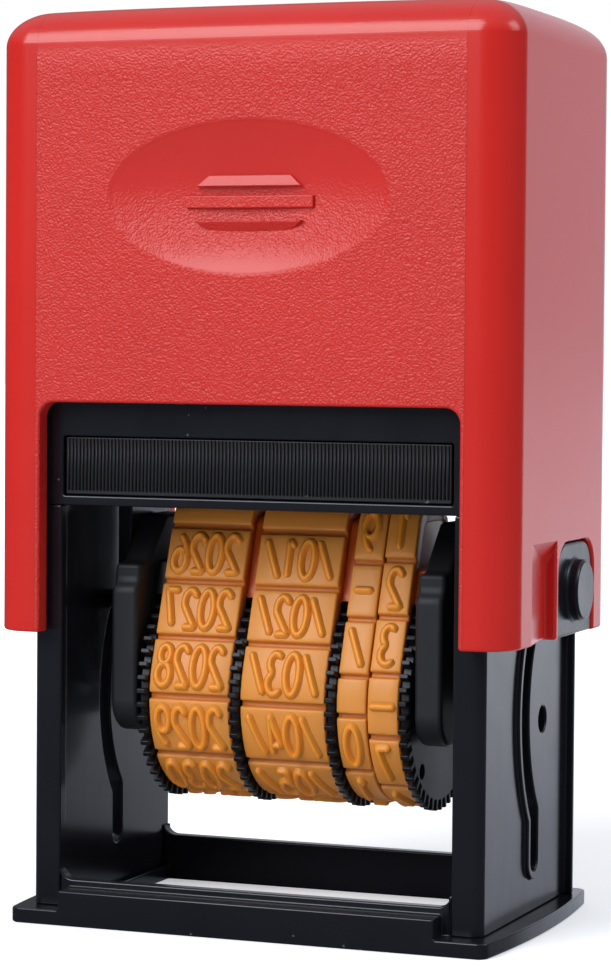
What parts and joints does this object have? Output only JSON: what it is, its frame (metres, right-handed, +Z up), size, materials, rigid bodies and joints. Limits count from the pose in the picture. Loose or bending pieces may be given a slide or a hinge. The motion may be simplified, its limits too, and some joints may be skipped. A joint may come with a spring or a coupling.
{
  "type": "self-inking date stamp",
  "caption": "press-down date stamp: sprung cover, sliding ink tray, and a unit of date bands on thumbwheels that turns over from the ink pad to the paper",
  "frame": {"origin": "on the desk under the middle of the base", "axes": "+X to the right of the stamp, +Y to the back, +Z up"},
  "size_m": [0.0514, 0.0308, 0.0835],
  "materials": {
    "frame_plastic": "moulded, slightly glossy",
    "cover_plastic": "glossy with a grained front panel",
    "spring_steel": "drawn wire",
    "lock_plastic": "moulded",
    "tray_plastic": "ribbed front",
    "pad_felt": "ink-soaked felt",
    "unit_plastic": "moulded",
    "core_plastic": "moulded",
    "axle_steel": "drawn rod",
    "wheel_plastic": "moulded teeth",
    "band_rubber": "satin moulded rubber"
  },
  "bodies": {
    "frame": {"base": "frame_plastic", "left_cheek": "frame_plastic", "right_cheek": "frame_plastic", "pad_housing": "frame_plastic", "return_spring": "spring_steel"},
    "cover": {"cover": "cover_plastic", "carriage": "frame_plastic"},
    "tray": {"ink_tray": "tray_plastic", "ink_pad": "pad_felt"},
    "turning_unit": {"left_plate": "unit_plastic", "right_plate": "unit_plastic", "platen_core": "core_plastic", "wheel_axle": "axle_steel", "year_band": "band_rubber", "month_band": "band_rubber", "tens_band": "band_rubber", "units_band": "band_rubber"},
    "year_wheel": {"year_wheel": "wheel_plastic"},
    "month_wheel": {"month_wheel": "wheel_plastic"},
    "tens_wheel": {"tens_wheel": "wheel_plastic"},
    "units_wheel": {"units_wheel": "wheel_plastic"},
    "left_lock": {"left_lock": "lock_plastic"},
    "right_lock": {"right_lock": "lock_plastic"}
  },
  "joints": [
    {"name": "cover_press", "type": "slide", "parent": "frame", "child": "cover", "axis": [0, 0, -1], "range_m": [0, 0.012], "stiffness_N_per_m": 350, "springref_m": -0.012, "deforming": ["return_spring"]},
    {"name": "unit_turn", "type": "hinge", "parent": "cover", "child": "turning_unit", "pos_m": [0, 0.001, 0.02548], "axis": [1, 0, 0], "range_deg": [0, 180]},
    {"name": "tray_slide", "type": "slide", "parent": "frame", "child": "tray", "axis": [0, 1, 0], "range_m": [-0.021, 0]},
    {"name": "left_lock_push", "type": "slide", "parent": "cover", "child": "left_lock", "axis": [1, 0, 0], "range_m": [0, 0.0005]},
    {"name": "right_lock_push", "type": "slide", "parent": "cover", "child": "right_lock", "axis": [-1, 0, 0], "range_m": [0, 0.0005]},
    {"name": "year_turn", "type": "hinge", "parent": "turning_unit", "child": "year_wheel", "pos_m": [0, 0.001, 0.02035], "axis": [1, 0, 0], "continuous": true},
    {"name": "month_turn", "type": "hinge", "parent": "turning_unit", "child": "month_wheel", "pos_m": [0, 0.001, 0.02035], "axis": [1, 0, 0], "continuous": true},
    {"name": "tens_turn", "type": "hinge", "parent": "turning_unit", "child": "tens_wheel", "pos_m": [0, 0.001, 0.02035], "axis": [1, 0, 0], "continuous": true},
    {"name": "units_turn", "type": "hinge", "parent": "turning_unit", "child": "units_wheel", "pos_m": [0, 0.001, 0.02035], "axis": [1, 0, 0], "continuous": true}
  ],
  "couplings": [
    {"joint": "unit_turn", "follows": "cover_press", "rad_per_m": 261.8}
  ]
}
